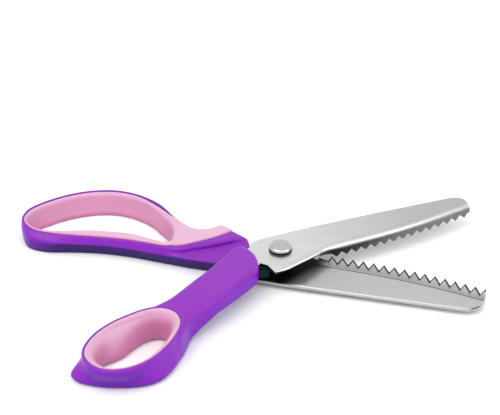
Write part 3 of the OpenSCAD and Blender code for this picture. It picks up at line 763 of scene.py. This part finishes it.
# ---------------------------------------------------------------- blades
def tooth_z(r, upper):
    """Height of a blade's toothed edge at distance r from the pivot."""
    t = abs(((r - TIP_R) / PITCH + 0.5) % 1.0 - 0.5) * 2
    zig = MID_Z + TOOTH_H / 2 - (TOOTH_H if upper else NOTCH_H) * t
    top = MID_Z + TOOTH_H / 2
    if upper:
        return zig if r > TIP_R else np.interp(r, (14, 17, 20, TIP_R), (UP_Z + 0.9, 9.9, 9.2, top))
    return zig if r > TIP_R - 1.4 else np.interp(r, (FLAT_R - 0.2, TIP_R), (PLAIN_Z, top))


def edge_y(x):
    """The toothed edge bows gently outwards between the pivot and the tip."""
    return EDGE + EDGE_RISE * math.sin(math.pi * float(clamp01((x - 20) / (BLADE_L - 20))))


def on_edge(r, inside=0.0):
    """Point of the toothed edge at distance r from the pivot."""
    x = r
    for _ in range(12):
        x = math.sqrt(r * r - (edge_y(x) - inside) ** 2)
    return x, edge_y(x) - inside


def blade(name, node, body, mat, back, front, end_x, upper):
    """One blade lofted along its toothed edge, without the bore for the screw.

    y is towards the toothed wall, z from the plate's outer face.
    """
    turn = UP_DIR if upper else LOW_DIR
    base = UP_TOP if upper else LOW_Z
    bx, by = np.array(back).T
    fx, fy = np.array(front).T
    rs = [math.hypot(x, EDGE) for x in (15.6, 16.4, 17.4, 18.6, 20)] + [FLAT_R - 0.2]
    r_end = math.hypot(end_x, EDGE)
    k = 0
    while TIP_R + k * PITCH / 2 < r_end - 0.3:
        rs.append(TIP_R + k * PITCH / 2)
        k += 1
    rs.append(r_end)
    xs = list(np.arange(-46, -14.2, 2.0)) + list(np.arange(-14.2, 15.0, 0.3)) + [15.0]
    bev = 0.22
    arc = [math.radians(a) for a in range(-90, 1, 10)]
    rows = []

    def rounding(x):
        """Width and height of the rounded front edge, which grows into the bend of the wall."""
        heel, out, down = float(step(-12.4, -4, x)), float(step(-2, 18, x)), float(step(12, 32, x))
        return bev + 2.2 * heel + (BEND - 2.2 - bev) * out, bev + 1.1 * heel + (BEND - 1.1 - bev) * down

    def wall_height(r):
        z = float(tooth_z(r, upper))
        return (base - z if upper else z - base) - MESH_GAP

    def back_part(x):
        yb = float(np.interp(x, bx, by))
        return [(x, yb + 0.95, PLATE_T), (x, yb + 0.48, PLATE_T - 0.1), (x, yb + 0.16, PLATE_T - 0.36),
                (x, yb, PLATE_T - 0.85), (x, yb, bev), (x, yb + bev, 0)]

    for x in xs:
        yf = float(np.interp(x, fx, fy))
        row = back_part(x)
        ry, rz = rounding(x)
        row += [(x, yf - ry + ry * math.cos(a), rz + rz * math.sin(a)) for a in arc]
        row += [(x, yf, PLATE_T - 0.3), (x, yf - 0.06, PLATE_T - 0.12), (x, yf - 0.16, PLATE_T - 0.03),
                (x, yf - 0.3, PLATE_T)]
        rows.append(row)
    for r in rs:
        x, yo = on_edge(r)
        xi, yi = on_edge(r, PLATE_T)
        grow = float(step(15.0, 20.0, x))
        ry, rz = rounding(x)
        yo += max(float(np.interp(x, fx, fy)) - yo, 0) * (1 - grow)
        row = back_part(x)
        tall = max(wall_height(r), PLATE_T + 0.4)
        row += [(x, yo - ry + ry * math.cos(a), min(rz + rz * math.sin(a), tall - 0.04)) for a in arc]
        yi = min(yi, yo - PLATE_T * 0.6)
        row += [(x, yo, tall), (xi if grow > 0.9 else x, yi, max(tall, PLATE_T + 0.15)),
                (x, yi - 0.75, PLATE_T + 0.1), (x, yi - 0.95, PLATE_T)]
        rows.append(row)
    verts = [v for row in rows for v in row]
    m = len(rows[0])
    faces = [(j * m + i, j * m + (i + 1) % m, (j + 1) * m + (i + 1) % m, (j + 1) * m + i)
             for j in range(len(rows) - 1) for i in range(m)]
    faces.append(tuple(range(m - 1, -1, -1)))
    faces.append(tuple((len(rows) - 1) * m + i for i in range(m)))
    c, s = math.cos(math.radians(turn)), math.sin(math.radians(turn))
    out = []
    for x, y, z in verts:
        if upper:
            y, z = -y, base - z
        else:
            z = base + z
        out.append((x * c - y * s, x * s + y * c, z))
    new_piece(name, out, faces, mat, body, node, 28)


FRONT = [(-13.6, 5.6), (-12.4, 7.4), (-11.4, 8.6), (-11.4, 10.5), (-11.7, 12.6), (-12.1, 14.2),
         (-11.9, 15), (-11.2, 15.35), (-8.45, 15.1), (-2.9, 14.4), (3.24, 13), (9.13, 11.7),
         (14, 10.5), (16.5, 9.8), (19, 9.2), (22, 9)]
LOW_FRONT = [(-46, -4.7), (-36.5, 0), (-23.6, 5.4)] + FRONT
UP_FRONT = [(-46, 19.4), (-35.6, 15.5), (-23.6, 10), (-14.6, 6.4)] + FRONT
LOW_BACK = [(-46, -11.5), (-33, -9.1), (-19, -6.3), (-14.2, -6), (-12.4, -10), (-11, -12.8),
            (-9.4, -14.4), (-7, -15.2), (-4, -15), (0, -14.5), (5, -14.2), (45, -9.1), (90.3, -3.3),
            (93.4, -2.4), (95.4, -1), (96.7, 0.8), (97.3, 2.8), (97.5, 5)]
UP_BACK = [(-46, 11.7), (-38.9, 6.9), (-23.9, -2.1), (-14, -7.4), (-12.2, -8.3), (-10.9, -9.3),
           (-9.4, -10.9), (-7.6, -11.8), (-3.7, -12.2), (0.8, -12), (20, -10.4), (45, -7.3),
           (70, -3.9), (91.5, -0.8), (94, -0.3), (95.8, 0.8), (97.2, 2.4), (98, 4.4)]
blade("blade_lower", "lower_blade", "finger_half", "low_steel", LOW_BACK, LOW_FRONT, 97.2, False)
blade("blade_upper", "upper_blade", "thumb_half", "up_steel", UP_BACK, UP_FRONT, 97.6, True)


# ---------------------------------------------------------------- pivot screw and heel block
def lathe(name, profile, mat, body, node, count=96, sharp=35):
    """A closed solid turned from a profile of (radius, height) points."""
    verts, faces = [], []
    for r, z in profile:
        verts += [(r * math.cos(2 * math.pi * k / count), r * math.sin(2 * math.pi * k / count), z)
                  for k in range(count)]
    for j in range(len(profile) - 1):
        for k in range(count):
            a, b = j * count + k, j * count + (k + 1) % count
            faces.append((a, b, b + count, a + count))
    faces.append(tuple(range(count - 1, -1, -1)))
    faces.append(tuple((len(profile) - 1) * count + k for k in range(count)))
    new_piece(name, verts, faces, mat, body, node, sharp)


HEAD_Z = UP_TOP + 0.36
lathe("screw", [(2.2, 0.5), (2.5, 0.8), (2.5, HEAD_Z), (4.9, HEAD_Z), (5.2, HEAD_Z + 0.12),
                (5.3, HEAD_Z + 0.4), (5.3, HEAD_TOP - 0.95), (5.22, HEAD_TOP - 0.75),
                (5.05, HEAD_TOP - 0.55), (4.62, HEAD_TOP - 0.12), (4.5, HEAD_TOP - 0.03),
                (4.3, HEAD_TOP), (2.0, HEAD_TOP - 0.02), (0.6, HEAD_TOP - 0.02)],
      "screw", "finger_half", "pivot_screw")


def heel_block():
    """The block between the plates, with a step along its front above z1."""
    outline = [(-10.7, -4.6), (-10.7, -8.6), (-9.9, -11.4)]
    outline += [(-6.6 + 1.7 * math.cos(math.radians(a)), -9.7 + 1.7 * math.sin(math.radians(a)))
                for a in range(-90, 1, 10)]
    outline += [(-4.9, -6.4), (-5.2, -5), (-6.2, -4.6)]
    z0, z1, z2 = LOW_TOP + 0.02, LOW_TOP + 4.8, UP_Z - 0.08
    inner = [(x, max(y, -10.7)) if x < -5.5 else (x, y) for x, y in outline]
    rows = [[(x, y, z0) for x, y in outline], [(x, y, z1) for x, y in outline],
            [(x, y, z1 + 0.15) for x, y in inner], [(x, y, z2) for x, y in inner]]
    m = len(outline)
    verts = [v for r in rows for v in r]
    faces = [(j * m + i, j * m + (i + 1) % m, (j + 1) * m + (i + 1) % m, (j + 1) * m + i)
             for j in range(3) for i in range(m)]
    faces += [tuple(range(m - 1, -1, -1)), tuple(3 * m + i for i in range(m))]
    o = new_piece("heel_spacer", verts, faces, "nylon", "finger_half", "heel_block", 30)
    b = o.modifiers.new("edges", "BEVEL")
    b.width = 0.18 * MM
    b.segments = 2
    b.limit_method = "ANGLE"
    b.angle_limit = math.radians(35)


heel_block()
